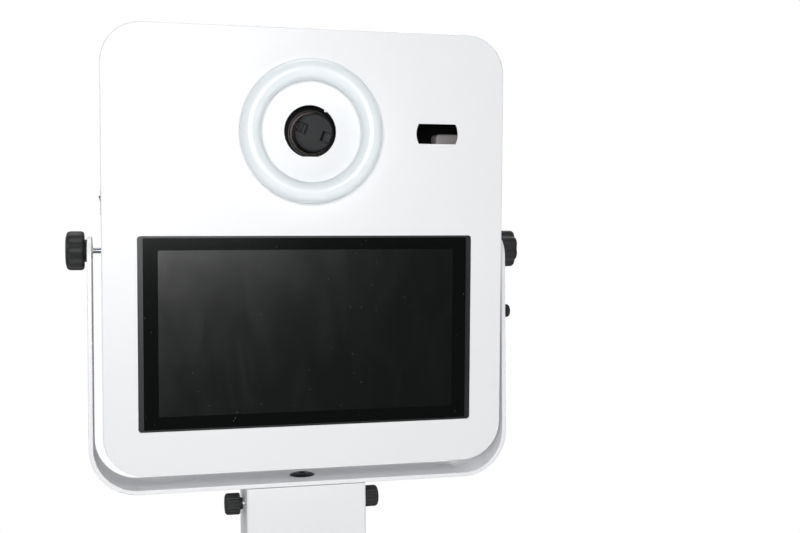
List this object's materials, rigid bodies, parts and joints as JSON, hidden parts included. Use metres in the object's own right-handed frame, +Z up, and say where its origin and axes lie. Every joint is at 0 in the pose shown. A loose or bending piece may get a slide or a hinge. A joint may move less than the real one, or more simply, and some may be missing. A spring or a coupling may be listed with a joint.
{
  "type": "photo booth",
  "caption": "Free-standing photo booth: a tilting head with ring light, camera and touch screen, held by a yoke on a column and base plate.",
  "frame": {"origin": "on the floor, under the middle of the base plate and column", "axes": "+Z up, +Y away from the person using the booth, +X to that person's right"},
  "size_m": [0.6528, 0.46, 1.7487],
  "materials": {
    "white_coat": "satin powder coat",
    "black_coat": "textured powder coat",
    "zinc": "bright zinc plate",
    "black_steel": "black oxide",
    "aluminium": "satin",
    "black_plastic": "moulded, fine texture",
    "monitor_black": "moulded, satin",
    "camera_black": "moulded, fine texture",
    "pale_plastic": "moulded",
    "white_plastic": "moulded",
    "nylon": "natural",
    "rubber": "matt",
    "opal": "glossy opal acrylic",
    "screen_glass": "polished",
    "lcd_dark": "dark, switched off",
    "lens_glass": "coated"
  },
  "bodies": {
    "stand": {"base_plate": "black_coat", "base_feet": "rubber", "column_foot_plate": "white_coat", "column": "white_coat", "column_bolts": "zinc", "clamp_rivet_nuts": "zinc"},
    "clamp_knob_left": {"clamp_knob_left": "black_plastic"},
    "clamp_knob_right": {"clamp_knob_right": "black_plastic"},
    "mast": {"mast_tube": "zinc", "mast_cap": "white_coat", "mast_guides": "nylon", "pan_bolt": "black_steel", "pan_nut": "zinc", "pan_washer": "nylon"},
    "yoke": {"yoke": "white_coat", "pivot_bushes": "nylon"},
    "pivot_knob_left": {"pivot_knob_left": "black_plastic", "pivot_stud_left": "zinc"},
    "pivot_knob_right": {"pivot_knob_right": "black_plastic", "pivot_stud_right": "zinc"},
    "tilt_lock_knob": {"tilt_lock_knob": "black_plastic"},
    "head": {"head_shell": "white_coat", "pivot_plates": "zinc", "weld_nuts": "zinc", "monitor_frame": "monitor_black", "touch_glass": "screen_glass", "lcd_panel": "lcd_dark", "monitor_back_cover": "monitor_black", "speaker_grilles": "monitor_black", "equipment_plate": "zinc", "monitor_spacers": "zinc", "equipment_nuts": "zinc", "mini_pc": "black_plastic", "power_supply": "aluminium", "led_driver": "pale_plastic", "ring_diffuser": "opal", "ring_base": "aluminium", "led_ring": "pale_plastic", "blanking_plug": "white_plastic", "camera_tray": "zinc", "camera_screw": "black_steel", "camera_body": "camera_black", "lens_barrel": "camera_black", "lens_trim_ring": "aluminium", "front_lens": "lens_glass", "rocker_frame": "black_plastic", "mains_inlet": "black_plastic", "hinge_fixed_leaves": "zinc", "hinge_pins": "zinc"},
    "shutter_button": {"shutter_button": "camera_black"},
    "mode_dial": {"mode_dial": "camera_black"},
    "focus_ring": {"focus_ring": "camera_black"},
    "lens_cap": {"lens_cap": "black_plastic"},
    "cap_tab_left": {"cap_tab_left": "black_plastic"},
    "cap_tab_right": {"cap_tab_right": "black_plastic"},
    "rocker": {"rocker": "black_plastic"},
    "rear_door": {"rear_door": "white_coat", "hinge_door_leaves": "zinc", "lock_barrel": "zinc"},
    "lock_cam": {"lock_cam": "zinc"}
  },
  "joints": [
    {"name": "clamp_knob_left_turn", "type": "hinge", "parent": "stand", "child": "clamp_knob_left", "pos_m": [-0.0866, 0, 1.075], "axis": [-1, 0, 0], "continuous": true},
    {"name": "clamp_knob_right_turn", "type": "hinge", "parent": "stand", "child": "clamp_knob_right", "pos_m": [0.0866, 0, 1.075], "axis": [1, 0, 0], "continuous": true},
    {"name": "mast_lift", "type": "slide", "parent": "stand", "child": "mast", "axis": [0, 0, 1], "range_m": [0, 0.05]},
    {"name": "yoke_pan", "type": "hinge", "parent": "mast", "child": "yoke", "pos_m": [0, 0, 1.105], "axis": [0, 0, 1], "range_deg": [-45, 45]},
    {"name": "head_tilt", "type": "hinge", "parent": "yoke", "child": "head", "pos_m": [0, 0, 1.439], "axis": [1, 0, 0], "range_deg": [-18, 12]},
    {"name": "pivot_knob_left_turn", "type": "hinge", "parent": "yoke", "child": "pivot_knob_left", "pos_m": [-0.2974, 0, 1.439], "axis": [-1, 0, 0], "continuous": true},
    {"name": "pivot_knob_right_turn", "type": "hinge", "parent": "yoke", "child": "pivot_knob_right", "pos_m": [0.2974, 0, 1.439], "axis": [1, 0, 0], "continuous": true},
    {"name": "tilt_lock_turn", "type": "hinge", "parent": "head", "child": "tilt_lock_knob", "pos_m": [0.2974, 0.00497, 1.34413], "axis": [1, 0, 0], "continuous": true},
    {"name": "rear_door_swing", "type": "hinge", "parent": "head", "child": "rear_door", "pos_m": [-0.252, 0.09104, 1.44627], "axis": [0, -0.0523, 0.9986], "range_deg": [0, 110]},
    {"name": "lock_cam_turn", "type": "hinge", "parent": "rear_door", "child": "lock_cam", "pos_m": [0.222, 0.08775, 1.4461], "axis": [0, 0.9986, 0.0523], "range_deg": [0, 90]},
    {"name": "rocker_rock", "type": "hinge", "parent": "head", "child": "rocker", "pos_m": [-0.275, -0.00345, 1.50491], "axis": [0, 0.9986, 0.0523], "range_deg": [0, 16]},
    {"name": "shutter_press", "type": "slide", "parent": "head", "child": "shutter_button", "axis": [0, 0.0523, -0.9986], "range_m": [0, 0.0012], "stiffness_N_per_m": 300},
    {"name": "mode_dial_turn", "type": "hinge", "parent": "head", "child": "mode_dial", "pos_m": [0.0524, 0.00956, 1.63877], "axis": [0, -0.0523, 0.9986], "continuous": true},
    {"name": "focus_ring_turn", "type": "hinge", "parent": "head", "child": "focus_ring", "pos_m": [0.0084, -0.0356, 1.60236], "axis": [0, 0.9986, 0.0523], "range_deg": [-60, 60]},
    {"name": "lens_cap_pull", "type": "slide", "parent": "head", "child": "lens_cap", "axis": [0, -0.9986, -0.0523], "range_m": [0, 0.04]},
    {"name": "cap_tab_left_pinch", "type": "slide", "parent": "lens_cap", "child": "cap_tab_left", "axis": [0.9336, 0.0188, -0.3579], "range_m": [0, 0.0015], "stiffness_N_per_m": 400},
    {"name": "cap_tab_right_pinch", "type": "slide", "parent": "lens_cap", "child": "cap_tab_right", "axis": [-0.9336, -0.0188, 0.3579], "range_m": [0, 0.0015], "stiffness_N_per_m": 400}
  ],
  "couplings": [
    {"joint": "cap_tab_right_pinch", "follows": "cap_tab_left_pinch", "ratio": 1}
  ]
}
